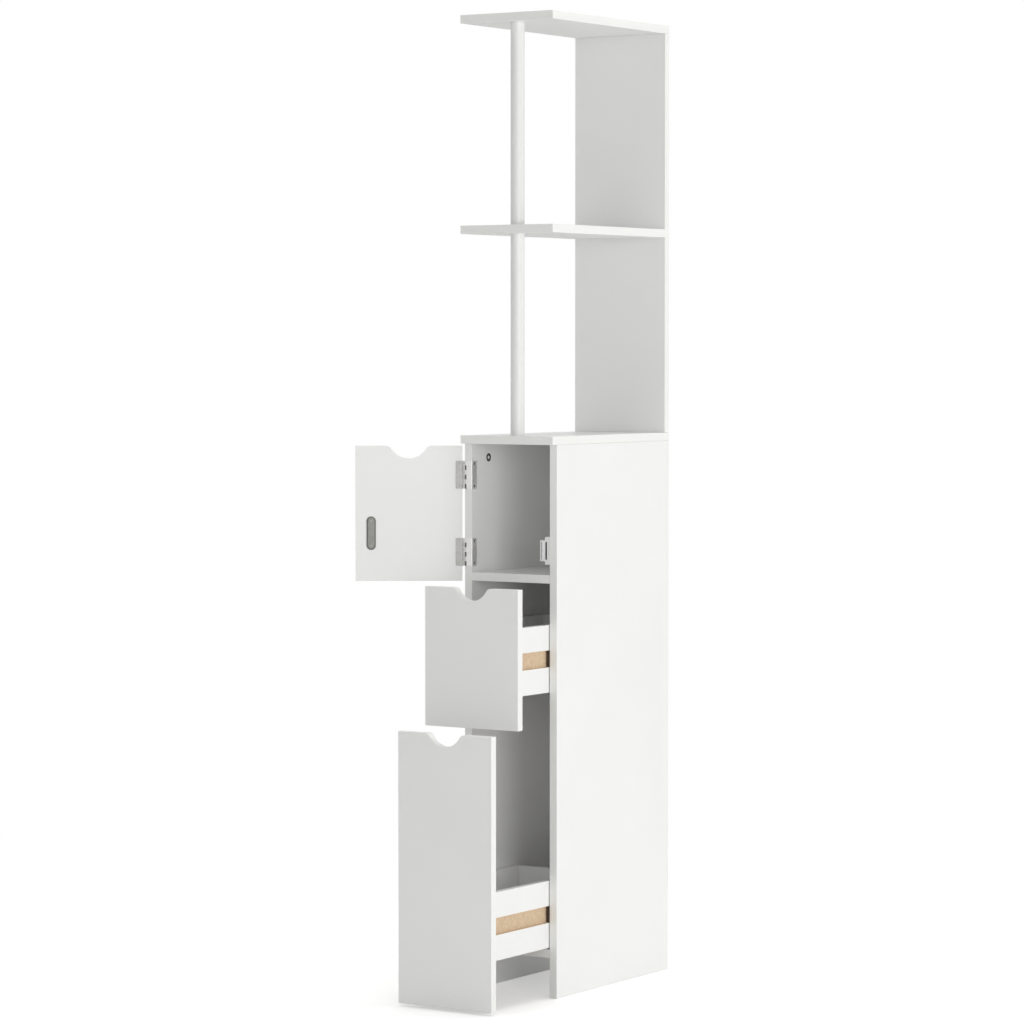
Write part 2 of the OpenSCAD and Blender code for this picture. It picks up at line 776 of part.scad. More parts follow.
module upper_hinge_frame_leaf() {
    color(steel_colour) frame_leaf(hinge_zs[0]);
}

module lower_hinge_frame_leaf() {
    color(steel_colour) frame_leaf(hinge_zs[1]);
}

module hinge_pin(z) {
    translate([hinge_x, hinge_y, z - hinge_h / 2]) cylinder(r = pin_r, h = hinge_h);
}

module upper_hinge_pin() {
    color(steel_colour) hinge_pin(hinge_zs[0]);
}

module lower_hinge_pin() {
    color(steel_colour) hinge_pin(hinge_zs[1]);
}

module frame_leaf_screws() {
    color(steel_colour) placed(flange_screw_frames)
        flat_screw(hinge_screw_r, hinge_screw_head_r, hinge_screw_l);
}

// ---- Fronts ----

// Outline of the finger scoop below the middle of an upper edge. Two shoulder arcs meet
// the bottom arc tangentially, and the tangent points fix the polygon between them
module scoop_outline() {
    arcs_r = (pow(scoop_half_w, 2) + pow(scoop_depth, 2)) / (2 * scoop_depth);
    bottom_r = arcs_r - scoop_shoulder_r;
    centre_z = bottom_r - scoop_depth;
    share = bottom_r / arcs_r;
    touch = [scoop_half_w * share, centre_z - (scoop_shoulder_r + centre_z) * share];
    difference() {
        union() {
            translate([0, centre_z]) circle(bottom_r, $fn = fine_fn);
            polygon([[-scoop_half_w, cut], [scoop_half_w, cut], [scoop_half_w, -scoop_shoulder_r],
                     touch, [-touch[0], touch[1]], [-scoop_half_w, -scoop_shoulder_r]]);
        }
        for (s = [-1, 1]) translate([s * scoop_half_w, -scoop_shoulder_r]) circle(scoop_shoulder_r);
    }
}

// Board with its left edge at x, its rear face at y, its lower edge at z and a finger scoop
// in its upper edge
module scooped_front(w, h, x, y, z) {
    translate([x, y, z]) rotate([90, 0, 0]) linear_extrude(front_t) difference() {
        square([w, h]);
        translate([w / 2, h]) scoop_outline();
    }
}

// ---- Door ----

module door_pose() {
    translate([hinge_x, hinge_y, 0]) rotate([0, 0, -door_open])
        translate([-hinge_x, -hinge_y, 0]) children();
}

strike_screw_frames = [for (s = [-1, 1])
    [[strike_x, door_y + strike_t, strike_z + s * (strike_l / 2 - strike_screw_inset)], [-90, 0, 0]]];

module door_panel() {
    color(board_colour) door_pose() difference() {
        scooped_front(door_w, door_h, door_x, door_y, door_z);
        placed(door_leaf_screw_frames) flat_screw_hole(hinge_screw_r, hinge_screw_head_r, hinge_screw_l);
        placed(strike_screw_frames) flat_screw_hole(hinge_screw_r, hinge_screw_head_r, hinge_screw_l);
    }
}

// Leaf on the inner face of the door, with rounded far corners
module door_leaf(z) {
    plate_w = door_leaf_w - door_x;
    color(steel_colour) door_pose() difference() {
        translate([hinge_x, hinge_y, z]) {
            knuckles(1, -leaf_t / 2);
            translate([leaf_start, leaf_t / 2, -hinge_h / 2]) rotate([90, 0, 0]) linear_extrude(leaf_t) {
                square([plate_w / 2, hinge_h]);
                round_rect(plate_w, hinge_h, hinge_corner_r);
            }
        }
        placed(door_leaf_screw_frames) flat_screw_hole(hinge_screw_r, hinge_screw_head_r, hinge_screw_l);
    }
}

module upper_hinge_door_leaf() {
    door_leaf(hinge_zs[0]);
}

module lower_hinge_door_leaf() {
    door_leaf(hinge_zs[1]);
}

module door_leaf_screws() {
    color(steel_colour) door_pose() placed(door_leaf_screw_frames)
        flat_screw(hinge_screw_r, hinge_screw_head_r, hinge_screw_l);
}

// Oblong steel plate that the catch holds: round ends and a rim that slopes to a flat middle
module strike_plate() {
    half_l = (strike_l - strike_w) / 2;
    r = strike_w / 2;
    color(steel_colour) door_pose() difference() {
        translate([strike_x, door_y, strike_z]) rotate([-90, 0, 0]) {
            for (s = [-1, 1]) translate([0, s * half_l, 0]) {
                cylinder(r = r, h = strike_land_t);
                translate([0, 0, strike_land_t]) cylinder(r1 = r, r2 = r - strike_rim, h = strike_slope_t);
            }
            translate([0, half_l, 0]) rotate([90, 0, 0]) linear_extrude(2 * half_l)
                polygon([[-r, 0], [r, 0], [r, strike_land_t], [r - strike_rim, strike_t],
                         [strike_rim - r, strike_t], [-r, strike_land_t]]);
        }
        placed(strike_screw_frames) flat_screw_hole(hinge_screw_r, hinge_screw_head_r, hinge_screw_l);
    }
}

module strike_screws() {
    color(steel_colour) door_pose() placed(strike_screw_frames)
        flat_screw(hinge_screw_r, hinge_screw_head_r, hinge_screw_l);
}

// ---- Drawers ----
// Each drawer is drawn closed and moved forwards by the distance that it stands open

module drawer_pose(d) {
    translate([0, -d[3], 0]) children();
}

// Frames of the cams on the left side, one in each land, and of the screws into the back
function land_zs(d) = [d[2] + land_h / 2, d[2] + side_h - land_h / 2];
function drawer_cam_frames(d) =
    [for (z = land_zs(d)) [[side_x + side_t / 2, -front_rest, z], [90, 0, 0]]];
function drawer_screw_frames(d) =
    [for (z = land_zs(d)) [[side_x, side_l - front_rest - side_t / 2, z], [0, -90, 0]]];

// Space of a drawer's bottom panel, grown by a clearance on every face
module bottom_space(d, grow) {
    block([side_x + side_t - bottom_groove - grow, -front_rest - bottom_groove - grow,
           d[2] + bottom_lift - grow],
          [body_w - side_x - side_t + bottom_groove + grow,
           side_l - front_rest - side_t + bottom_groove + grow, d[2] + bottom_lift + bottom_t + grow]);
}

module drawer_front(d) {
    color(board_colour) drawer_pose(d) difference() {
        scooped_front(body_w, d[1], 0, -front_rest, d[0]);
        both_sides() placed(drawer_cam_frames(d)) bolt_hole();
        bottom_space(d, 2 * fit);
    }
}

// Left side with the runner groove along its outer face, open at both ends
module drawer_side(d) {
    groove_z = d[2] + land_h;
    drawer_pose(d) difference() {
        block([side_x, -front_rest, d[2]], [side_x + side_t, side_l - front_rest, d[2] + side_h]);
        block([side_x - cut, -front_rest - cut, groove_z],
              [side_x + groove_depth, side_l + cut, groove_z + groove_h]);
        placed(drawer_cam_frames(d)) cam_seat(side_t);
        placed(drawer_screw_frames(d)) flat_screw_hole(back_screw_r, back_screw_head_r, back_screw_l);
        bottom_space(d, 2 * fit);
    }
}

module drawer_back(d) {
    color(board_colour) drawer_pose(d) difference() {
        block([side_x + side_t, side_l - front_rest - side_t, d[2]],
              [body_w - side_x - side_t, side_l - front_rest, d[2] + side_h]);
        both_sides() placed(drawer_screw_frames(d))
            flat_screw_hole(back_screw_r, back_screw_head_r, back_screw_l);
        bottom_space(d, 2 * fit);
    }
}

module drawer_bottom(d) {
    color(board_colour) drawer_pose(d) bottom_space(d, 0);
}

module drawer_cams(d) {
    color(steel_colour) drawer_pose(d) both_sides() placed(drawer_cam_frames(d)) cam_lock(side_t);
}

module drawer_cam_bolts(d) {
    color(steel_colour) drawer_pose(d) both_sides() placed(drawer_cam_frames(d)) cam_bolt();
}

module drawer_screws(d) {
    color(steel_colour) drawer_pose(d) both_sides() placed(drawer_screw_frames(d))
        flat_screw(back_screw_r, back_screw_head_r, back_screw_l);
}

module left_drawer_side(d) {
    color(board_colour) drawer_side(d);
}

module right_drawer_side(d) {
    color(board_colour) mirrored() drawer_side(d);
}

left_side_panel();
right_side_panel();
cabinet_top();
cupboard_shelf();
bottom_panel();
back_board();
back_nails();
carcass_cams();
carcass_cam_bolts();
carcass_dowels();
hutch_back_panel();
middle_shelf();
top_shelf();
hutch_cams();
hutch_cam_bolts();
hutch_dowels();
middle_shelf_screws();
lower_post();
upper_post();
post_studs();
post_screw();
upper_left_runner();
upper_right_runner();
lower_left_runner();
lower_right_runner();
runner_screws();
catch_housing();
catch_magnet();
catch_pole_plates();
catch_screws();
upper_hinge_frame_leaf();
lower_hinge_frame_leaf();
upper_hinge_pin();
lower_hinge_pin();
frame_leaf_screws();
door_panel();
upper_hinge_door_leaf();
lower_hinge_door_leaf();
door_leaf_screws();
strike_plate();
strike_screws();
drawer_front(small);  // small_drawer_front
left_drawer_side(small);  // small_drawer_left_side
right_drawer_side(small);  // small_drawer_right_side
drawer_back(small);  // small_drawer_back
drawer_bottom(small);  // small_drawer_bottom
drawer_cams(small);  // small_drawer_cams
drawer_cam_bolts(small);  // small_drawer_cam_bolts
drawer_screws(small);  // small_drawer_screws
drawer_front(large);  // large_drawer_front
left_drawer_side(large);  // large_drawer_left_side
right_drawer_side(large);  // large_drawer_right_side
drawer_back(large);  // large_drawer_back
drawer_bottom(large);  // large_drawer_bottom
drawer_cams(large);  // large_drawer_cams
drawer_cam_bolts(large);  // large_drawer_cam_bolts
drawer_screws(large);  // large_drawer_screws
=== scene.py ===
import json
import math

import bpy
from mathutils import Matrix, Vector

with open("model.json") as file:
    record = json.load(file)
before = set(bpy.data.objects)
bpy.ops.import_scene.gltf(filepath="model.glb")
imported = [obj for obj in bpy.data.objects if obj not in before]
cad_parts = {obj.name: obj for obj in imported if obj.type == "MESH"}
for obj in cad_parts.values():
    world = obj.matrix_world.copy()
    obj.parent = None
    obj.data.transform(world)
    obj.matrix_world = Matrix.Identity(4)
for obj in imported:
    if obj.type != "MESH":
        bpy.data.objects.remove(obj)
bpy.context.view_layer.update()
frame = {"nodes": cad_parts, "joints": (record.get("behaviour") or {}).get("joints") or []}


# ---------------------------------------------------------------------------
# Camera
# It stands to the right of the tower's front at chest height, well back, and looks slightly
# down. The picture is shifted a little so that the tower keeps its place in the photograph.

CAMERA_PLACE = (3.7695, -5.6142, 1.1597)
CAMERA_BEARING = math.radians(33.161)
CAMERA_TILT = math.radians(2.211)
CAMERA_LENS = 132.43
CAMERA_SHIFT = -0.02
CAMERA_SIGHT = 60
FILM_WIDTH = 36

camera_data = bpy.data.cameras.new("camera")
camera_data.lens = CAMERA_LENS
camera_data.sensor_width = FILM_WIDTH
camera_data.shift_y = CAMERA_SHIFT
camera_data.clip_end = CAMERA_SIGHT
camera = bpy.data.objects.new("camera", camera_data)
camera.location = CAMERA_PLACE
camera.rotation_euler = (math.pi / 2 - CAMERA_TILT, 0, CAMERA_BEARING)
bpy.context.scene.collection.objects.link(camera)
bpy.context.scene.camera = camera
bpy.context.scene.view_settings.view_transform = "Standard"


# ---------------------------------------------------------------------------
# Studio
# The tower stands on a wide white floor in an evenly lit white room. Two soft lamps on the
# right make the right-hand faces the brightest, as windows would, and one above the tops. Weak
# lamps on the right-hand inner faces stand in for light thrown about inside the openings.

MM = 0.001
WHITE = (1, 1, 1, 1)
FLOOR_SIZE = 60
FLOOR_COLOUR = (0.89, 0.89, 0.885, 1)
FLOOR_ROUGHNESS = 0.9
FLOOR_SHEEN = 0.1
FLOOR_LIFT = 0.32
FLOOR_FADE_START = 0.7
FLOOR_FADE_END = 2.4
ROOM_LIGHT = 0.52
FILL_PLANE = 178 * MM


def add_node(tree, kind, inputs=None, **settings):
    """A shader node. Its inputs are set to values or linked from sockets."""
    node = tree.nodes.new(kind)
    for name, value in settings.items():
        setattr(node, name, value)
    for name, value in (inputs or {}).items():
        if isinstance(value, bpy.types.NodeSocket):
            tree.links.new(value, node.inputs[name])
        else:
            node.inputs[name].default_value = value
    return node


def soft_lamp(name, place, aim, width, height, watts):
    """A flat lamp that shines from one point towards another."""
    lamp = bpy.data.lights.new(name, "AREA")
    lamp.energy = watts
    lamp.shape = "RECTANGLE"
    lamp.size = width
    lamp.size_y = height
    holder = bpy.data.objects.new(name, lamp)
    holder.location = place
    holder.rotation_euler = (Vector(aim) - Vector(place)).to_track_quat("-Z", "Y").to_euler()
    bpy.context.scene.collection.objects.link(holder)
    return holder


def fill_lamp(name, depth, level, width, height, watts):
    """A weak lamp on an opening's right-hand inner face, which shines straight across it."""
    soft_lamp(name, (FILL_PLANE, depth, level), (0, depth, level), width, height, watts)


small_window = soft_lamp("small_window", place=(5.3, 0.28, 1.0), aim=(0.1, 0.0, 0.85),
                         width=0.6, height=0.6, watts=60)
small_window.visible_glossy = False  # it faces the side panel and would leave a glare on it
soft_lamp("large_window", place=(4.4, -3.0, 1.2), aim=(0.1, 0.2, 0.9),
          width=2.0, height=2.0, watts=60)
soft_lamp("skylight", place=(0.1, 0.7, 4.6), aim=(0.1, 0.1, 0.8),
          width=2.0, height=2.0, watts=86)
fill_lamp("cupboard_fill", depth=0.22, level=0.87, width=0.28, height=0.20, watts=0.028)
fill_lamp("drawer_fill", depth=0.22, level=0.71, width=0.28, height=0.03, watts=0.004)
fill_lamp("bay_fill", depth=0.22, level=0.38, width=0.28, height=0.32, watts=0.035)
fill_lamp("foot_fill", depth=0.20, level=0.04, width=0.34, height=0.05, watts=0.03)

world = bpy.data.worlds.new("room")
world.use_nodes = True
room = world.node_tree
room_light = room.nodes["Background"]
room_light.inputs["Color"].default_value = WHITE
room_light.inputs["Strength"].default_value = ROOM_LIGHT
white = add_node(room, "ShaderNodeBackground", {"Color": WHITE, "Strength": 1.0})
ray = add_node(room, "ShaderNodeLightPath")
seen = add_node(room, "ShaderNodeMath", {0: ray.outputs["Is Camera Ray"],
                                         1: ray.outputs["Is Glossy Ray"]}, operation="MAXIMUM")
mixed = add_node(room, "ShaderNodeMixShader", {0: seen.outputs[0], 1: room_light.outputs[0],
                                               2: white.outputs[0]})
room.links.new(mixed.outputs[0], room.nodes["World Output"].inputs["Surface"])
bpy.context.scene.world = world


def floor_finish():
    """White floor that keeps the tower's shadow and fades into the white of the room."""
    material = bpy.data.materials.new("white_floor")
    material.use_nodes = True
    tree = material.node_tree
    matt = tree.nodes["Principled BSDF"]
    matt.inputs["Base Color"].default_value = FLOOR_COLOUR
    matt.inputs["Roughness"].default_value = FLOOR_ROUGHNESS
    matt.inputs["Specular IOR Level"].default_value = FLOOR_SHEEN
    lift = add_node(tree, "ShaderNodeEmission", {"Color": WHITE, "Strength": FLOOR_LIFT})
    near = add_node(tree, "ShaderNodeAddShader", {0: matt.outputs[0], 1: lift.outputs[0]})
    far = add_node(tree, "ShaderNodeEmission", {"Color": WHITE, "Strength": 1.0})
    place = add_node(tree, "ShaderNodeTexCoord").outputs["Object"]
    away = add_node(tree, "ShaderNodeVectorMath", {0: place}, operation="LENGTH").outputs["Value"]
    fade = add_node(tree, "ShaderNodeMapRange", {"Value": away, "From Min": FLOOR_FADE_START,
                                                 "From Max": FLOOR_FADE_END},
                    interpolation_type="SMOOTHSTEP").outputs["Result"]
    seen_floor = add_node(tree, "ShaderNodeMixShader", {0: fade, 1: near.outputs[0],
                                                        2: far.outputs[0]})
    path = add_node(tree, "ShaderNodeLightPath")
    shown = add_node(tree, "ShaderNodeMixShader", {0: path.outputs["Is Camera Ray"],
                                                   1: matt.outputs[0], 2: seen_floor.outputs[0]})
    tree.links.new(shown.outputs[0], tree.nodes["Material Output"].inputs["Surface"])
    return material


floor_mesh = bpy.data.meshes.new("floor")
half = FLOOR_SIZE / 2
floor_mesh.from_pydata([(-half, -half, 0), (half, -half, 0), (half, half, 0), (-half, half, 0)],
                       [], [(0, 1, 2, 3)])
floor_mesh.materials.append(floor_finish())
floor = bpy.data.objects.new("floor", floor_mesh)
bpy.context.scene.collection.objects.link(floor)


# ---------------------------------------------------------------------------
# Carcass boards
# Two side panels, a top, a shelf and a bottom of particle board under a smooth white coating.
# Visible edges carry a white band; rear, lower and hidden edges are sawn and left raw.

COATING = (0.84, 0.84, 0.828, 1)
COATING_CLOUD = (0.826, 0.826, 0.815, 1)
BAND = (0.845, 0.845, 0.822, 1)
BAND_CLOUD = (0.838, 0.838, 0.815, 1)
CHIP_DARK = (0.26, 0.165, 0.085, 1)
CHIP_MID = (0.47, 0.33, 0.19, 1)
CHIP_PALE = (0.66, 0.50, 0.32, 1)
PIT_SHADE = (0.35, 0.3, 0.25, 1)
EDGE_ROUNDING = 0.5 * MM
ROUNDING_STEPS = 2
SHARP = math.radians(40)
SAME_PLANE = math.radians(0.4)
SAME_POINT = 0.002 * MM
BROAD_FACES_FIRST = 100
FLUSH = 0.05 * MM  # a face this near a board's outer plane lies on it
SQUARE = 0.999  # least cosine between an axis and the normal of a face square to it
COATED, BANDED, SAWN = 0, 1, 2  # a board's material slots
NOISE_LOW = 0.3
NOISE_HIGH = 0.7

nodes = frame["nodes"]


def finish_on(name):
    """A new material, its node tree, its shader and the piece's own coordinates."""
    material = bpy.data.materials.new(name)
    material.use_nodes = True
    tree = material.node_tree
    place = add_node(tree, "ShaderNodeTexCoord").outputs["Object"]
    return material, tree, tree.nodes["Principled BSDF"], place


def stretched(tree, place, scale):
    return add_node(tree, "ShaderNodeMapping", {"Vector": place, "Scale": scale}).outputs[0]


def noise(tree, place, scale, detail=2.0, roughness=0.5):
    return add_node(tree, "ShaderNodeTexNoise", {"Vector": place, "Scale": scale, "Detail": detail,
                                                 "Roughness": roughness}).outputs["Fac"]


def colours(tree, factor, stops):
    """Colours along a factor; each stop is (position, colour)."""
    ramp = add_node(tree, "ShaderNodeValToRGB", {"Fac": factor})
    ends = ramp.color_ramp.elements
    while len(ends) < len(stops):
        ends.new(0.5)
    for end, (position, colour) in zip(ends, stops):
        end.position = position
        end.color = colour
    return ramp.outputs["Color"]


def tinted(tree, shader, factor, dark, pale, dark_to, pale_from):
    """Colours the surface along a factor: dark up to one position, pale from another."""
    tint = colours(tree, factor, [(dark_to, dark), (pale_from, pale)])
    tree.links.new(tint, shader.inputs["Base Color"])


def plain_gloss(shader, roughness, sheen=0.5):
    shader.inputs["Roughness"].default_value = roughness
    shader.inputs["Specular IOR Level"].default_value = sheen


def uneven_gloss(tree, shader, factor, low, high):
    """Roughness from low to high over the part of a factor's range where noise mostly lies."""
    spread = add_node(tree, "ShaderNodeMapRange", {"Value": factor, "From Min": NOISE_LOW,
                                                   "From Max": NOISE_HIGH, "To Min": low,
                                                   "To Max": high})
    tree.links.new(spread.outputs["Result"], shader.inputs["Roughness"])


def raised(tree, shader, height, depth, strength):
    """Relief on the surface: the height's full range stands depth metres out."""
    bump = add_node(tree, "ShaderNodeBump", {"Height": height, "Distance": depth,
                                             "Strength": strength})
    tree.links.new(bump.outputs["Normal"], shader.inputs["Normal"])


def coated(name, colour, cloud, gloss, spread=0.03):
    """Smooth white coating: faint clouds, a fine pearl in the surface and wiped-off gloss."""
    material, tree, shader, place = finish_on(name)
    clouds = noise(tree, place, scale=5.0, detail=3.0)
    tinted(tree, shader, clouds, cloud, colour, dark_to=0.35, pale_from=0.62)
    wiped = noise(tree, place, scale=14.0, detail=4.0)
    uneven_gloss(tree, shader, wiped, gloss - spread, gloss + spread)
    raised(tree, shader, noise(tree, place, scale=700.0), depth=0.06 * MM, strength=0.35)
    return material


def chipboard():
    """Sawn particle board: pressed chips of all browns with pits between them."""
    material, tree, shader, place = finish_on("sawn_chipboard")
    pressed = stretched(tree, place, (1.0, 1.0, 1.8))
    chips = add_node(tree, "ShaderNodeTexVoronoi", {"Vector": pressed, "Scale": 330.0})
    grey = add_node(tree, "ShaderNodeRGBToBW", {"Color": chips.outputs["Color"]}).outputs[0]
    chip_tint = colours(tree, grey, [(0.15, CHIP_DARK), (0.5, CHIP_MID), (0.85, CHIP_PALE)])
    pits = noise(tree, place, scale=620.0, detail=5.0, roughness=0.7)
    pit_tint = colours(tree, pits, [(0.36, PIT_SHADE), (0.52, WHITE)])
    shaded = add_node(tree, "ShaderNodeMix", {"Factor": 0.75, "A": chip_tint, "B": pit_tint},
                      data_type="RGBA", blend_type="MULTIPLY")
    tree.links.new(shaded.outputs[2], shader.inputs["Base Color"])
    plain_gloss(shader, roughness=0.92, sheen=0.25)
    raised(tree, shader, pits, depth=0.5 * MM, strength=0.7)
    return material


white_coating = coated("white_coating", COATING, COATING_CLOUD, gloss=0.36)
white_band = coated("white_edge_band", BAND, BAND_CLOUD, gloss=0.34, spread=0.01)
sawn_edge = chipboard()


def dress(node, finishes, choose=None):
    """Gives a piece its materials, and each face the one that choose(middle, normal) names.
    Without choose, all faces take the first."""
    mesh = nodes[node].data
    mesh.materials.clear()
    for material in finishes:
        mesh.materials.append(material)
    for face in mesh.polygons:
        face.material_index = choose(face.center, face.normal) if choose else 0


def ease(node, width):
    """Joins a piece's split faces and takes the sharpness off its edges."""
    piece = nodes[node]
    weld = piece.modifiers.new("joined_faces", "WELD")
    weld.merge_threshold = SAME_POINT
    flats = piece.modifiers.new("whole_faces", "DECIMATE")
    flats.decimate_type = "DISSOLVE"
    flats.angle_limit = SAME_PLANE
    flats.delimit = {"MATERIAL"}
    rounding = piece.modifiers.new("eased_edges", "BEVEL")
    rounding.width = width
    rounding.segments = ROUNDING_STEPS
    rounding.limit_method = "ANGLE"
    rounding.angle_limit = SHARP
    rounding.use_clamp_overlap = False
    rounding.loop_slide = False
    shading = piece.modifiers.new("flat_faces_shade_flat", "WEIGHTED_NORMAL")
    shading.weight = BROAD_FACES_FIRST


def board(node, thin, raw="", turn=None):
    """Coated board whose thickness runs along the axis thin. raw lists its uncovered edges,
    such as "+y-z", and every bore and groove in it is raw too."""
    turn = turn or Matrix.Identity(4)
    corners = [turn @ v.co for v in nodes[node].data.vertices]
    low = [min(c[i] for c in corners) for i in range(3)]
    high = [max(c[i] for c in corners) for i in range(3)]
    thin_axis = "xyz".index(thin)

    def choose(middle, normal):
        middle, normal = turn @ middle, turn.to_3x3() @ normal
        axis = max(range(3), key=lambda i: abs(normal[i]))
        end = high[axis] if normal[axis] > 0 else low[axis]
        if abs(normal[axis]) < SQUARE or abs(middle[axis] - end) > FLUSH:
            return SAWN
        if axis == thin_axis:
            return COATED
        side = ("+" if normal[axis] > 0 else "-") + "xyz"[axis]
        return SAWN if side in raw else BANDED

    dress(node, [white_coating, white_band, sawn_edge], choose)
    ease(node, EDGE_ROUNDING)


board("left_side_panel", "x", "+y+z-z")
board("right_side_panel", "x", "+y+z-z")
board("cabinet_top", "z", "+y")
board("cupboard_shelf", "z", "+x-x+y")
board("bottom_panel", "z", "+x-x+y")


# ---------------------------------------------------------------------------
# Hardboard back
# Thin pressed-fibre board, white lacquer inside and bare brown behind. It is slid into the
# side panels' grooves from below and nailed to the shelf and the bottom panel.

FIBRE_DARK = (0.15, 0.085, 0.045, 1)
FIBRE_PALE = (0.26, 0.155, 0.085, 1)
LACQUER = (0.83, 0.83, 0.82, 1)
LACQUER_CLOUD = (0.80, 0.80, 0.79, 1)


def hardboard():
    """Bare side of the hardboard: brown felted fibres with a press-screen weave."""
    material, tree, shader, place = finish_on("bare_hardboard")
    felt = noise(tree, place, scale=90.0, detail=6.0, roughness=0.65)
    tinted(tree, shader, felt, FIBRE_DARK, FIBRE_PALE, dark_to=0.36, pale_from=0.64)
    plain_gloss(shader, roughness=0.85, sheen=0.3)
    weave = noise(tree, place, scale=1100.0, detail=3.0)
    raised(tree, shader, weave, depth=0.25 * MM, strength=0.6)
    return material


bare_hardboard = hardboard()
white_lacquer = coated("white_lacquer", LACQUER, LACQUER_CLOUD, gloss=0.42)


def sheet_of_hardboard(node, white_side):
    """Hardboard that shows white on one side, given as an axis such as "-y"."""
    axis = "xyz".index(white_side[1])
    sign = 1 if white_side[0] == "+" else -1
    dress(node, [bare_hardboard, white_lacquer],
          lambda middle, normal: 1 if normal[axis] * sign > SQUARE else 0)


sheet_of_hardboard("back_board", "-y")


# ---------------------------------------------------------------------------
# Hutch boards
# An upright back panel and two shelves of the same coated board. The top shelf lies on the
# back panel, the middle shelf butts against it and is screwed from behind.

board("hutch_back_panel", "y", "+z-z")
board("middle_shelf", "z", "+y")
board("top_shelf", "z", "+y")


# ---------------------------------------------------------------------------
# Posts
# Two turned round posts under the front of the shelves, sanded and lacquered white so that
# a little of the grain still shows.

POST_LACQUER = (0.80, 0.80, 0.785, 1)
POST_GRAIN = (0.785, 0.785, 0.765, 1)


def lacquered_wood():
    """White lacquer over an upright grain that just shows."""
    material, tree, shader, place = finish_on("white_lacquered_wood")
    upright = stretched(tree, place, (1.0, 1.0, 0.012))
    grain = noise(tree, upright, scale=420.0, detail=3.0)
    tinted(tree, shader, grain, POST_GRAIN, POST_LACQUER, dark_to=0.35, pale_from=0.6)
    uneven_gloss(tree, shader, noise(tree, place, scale=14.0), low=0.32, high=0.35)
    raised(tree, shader, grain, depth=0.03 * MM, strength=0.4)
    return material


white_wood = lacquered_wood()
for post in ("lower_post", "upper_post"):
    dress(post, [white_wood])


# ---------------------------------------------------------------------------
# Door
# One coated board with a finger scoop cut into its upper edge and banded like the rest. It
# stands open on the left, and its material choice is made as if it were closed.

SCOOP_DEPTH = 24 * MM
SCOOP_HALF_WIDTH = 54 * MM

hinge = next(joint for joint in frame["joints"] if joint["name"] == "door_hinge")
hinge_line = Matrix.Translation(Vector(hinge["pos_m"]))


def front_board(node, turn=None):
    """Coated front whose scoop is banded too; the bolt holes in its back stay raw."""
    board(node, "y", "", turn)
    turn = turn or Matrix.Identity(4)
    corners = [turn @ v.co for v in nodes[node].data.vertices]
    top = max(c.z for c in corners)
    left, right = min(c.x for c in corners), max(c.x for c in corners)
    for face in nodes[node].data.polygons:
        middle = turn @ face.center
        beside = abs(middle.x - (left + right) / 2)
        in_scoop = top - middle.z < SCOOP_DEPTH and beside < SCOOP_HALF_WIDTH
        if face.material_index == SAWN and in_scoop:
            face.material_index = BANDED


closing = Matrix.Rotation(math.radians(hinge["range_deg"][0]), 4, Vector(hinge["axis"]))
closed_door = hinge_line @ closing @ hinge_line.inverted()
front_board("door_panel", closed_door)


# ---------------------------------------------------------------------------
# Drawers
# A white fibreboard box on a coated front. The sides carry a long groove for the runner, cut
# after coating, so the brown core shows in it. The thin bottom slides into grooves.

CORE_DARK = (0.57, 0.43, 0.285, 1)
CORE_PALE = (0.68, 0.53, 0.37, 1)


def fibreboard():
    """Routed fibreboard: even light brown with cutter marks across the groove."""
    material, tree, shader, place = finish_on("routed_fibreboard")
    felt = noise(tree, place, scale=160.0, detail=5.0, roughness=0.7)
    tinted(tree, shader, felt, CORE_DARK, CORE_PALE, dark_to=0.34, pale_from=0.62)
    plain_gloss(shader, roughness=0.88, sheen=0.25)
    ripples = noise(tree, stretched(tree, place, (1.0, 1.0, 0.12)), scale=1400.0)
    raised(tree, shader, ripples, depth=0.15 * MM, strength=0.5)
    return material


routed_core = fibreboard()


def box_side(node, thin):
    """White board of a drawer box: coated on its broad faces and edges, bare in its cuts."""
    board(node, thin)
    nodes[node].data.materials[SAWN] = routed_core


for drawer in ("small_drawer", "large_drawer"):
    front_board(drawer + "_front")
    box_side(drawer + "_left_side", "x")
    box_side(drawer + "_right_side", "x")
    box_side(drawer + "_back", "y")
    sheet_of_hardboard(drawer + "_bottom", "+z")


# ---------------------------------------------------------------------------
# Drawer runners
# Four planed hardwood strips, stained dark brown and screwed to the side panels. Their front
# ends are sawn across the grain and tapered to lead the drawer in.

STAIN_DARK = (0.030, 0.020, 0.014, 1)
STAIN_PALE = (0.085, 0.058, 0.040, 1)


def stained_wood():
    """Dark stain over a grain that runs from front to back."""
    material, tree, shader, place = finish_on("stained_hardwood")
    lengthwise = stretched(tree, place, (1.0, 0.02, 1.0))
    grain = noise(tree, lengthwise, scale=600.0, detail=4.0, roughness=0.6)
    tinted(tree, shader, grain, STAIN_DARK, STAIN_PALE, dark_to=0.36, pale_from=0.66)
    plain_gloss(shader, roughness=0.6, sheen=0.35)
    raised(tree, shader, grain, depth=0.15 * MM, strength=0.6)
    return material


stained_strip = stained_wood()
for strip in ("upper_left", "upper_right", "lower_left", "lower_right"):
    dress(strip + "_runner", [stained_strip])


# ---------------------------------------------------------------------------
# Hinges
# Pressed nickel-plated steel leaves rolled round a pin. The polished frame leaf folds round
# the side panel's edge and is screwed to its inner face. The satin door leaf is screwed to
# the door.

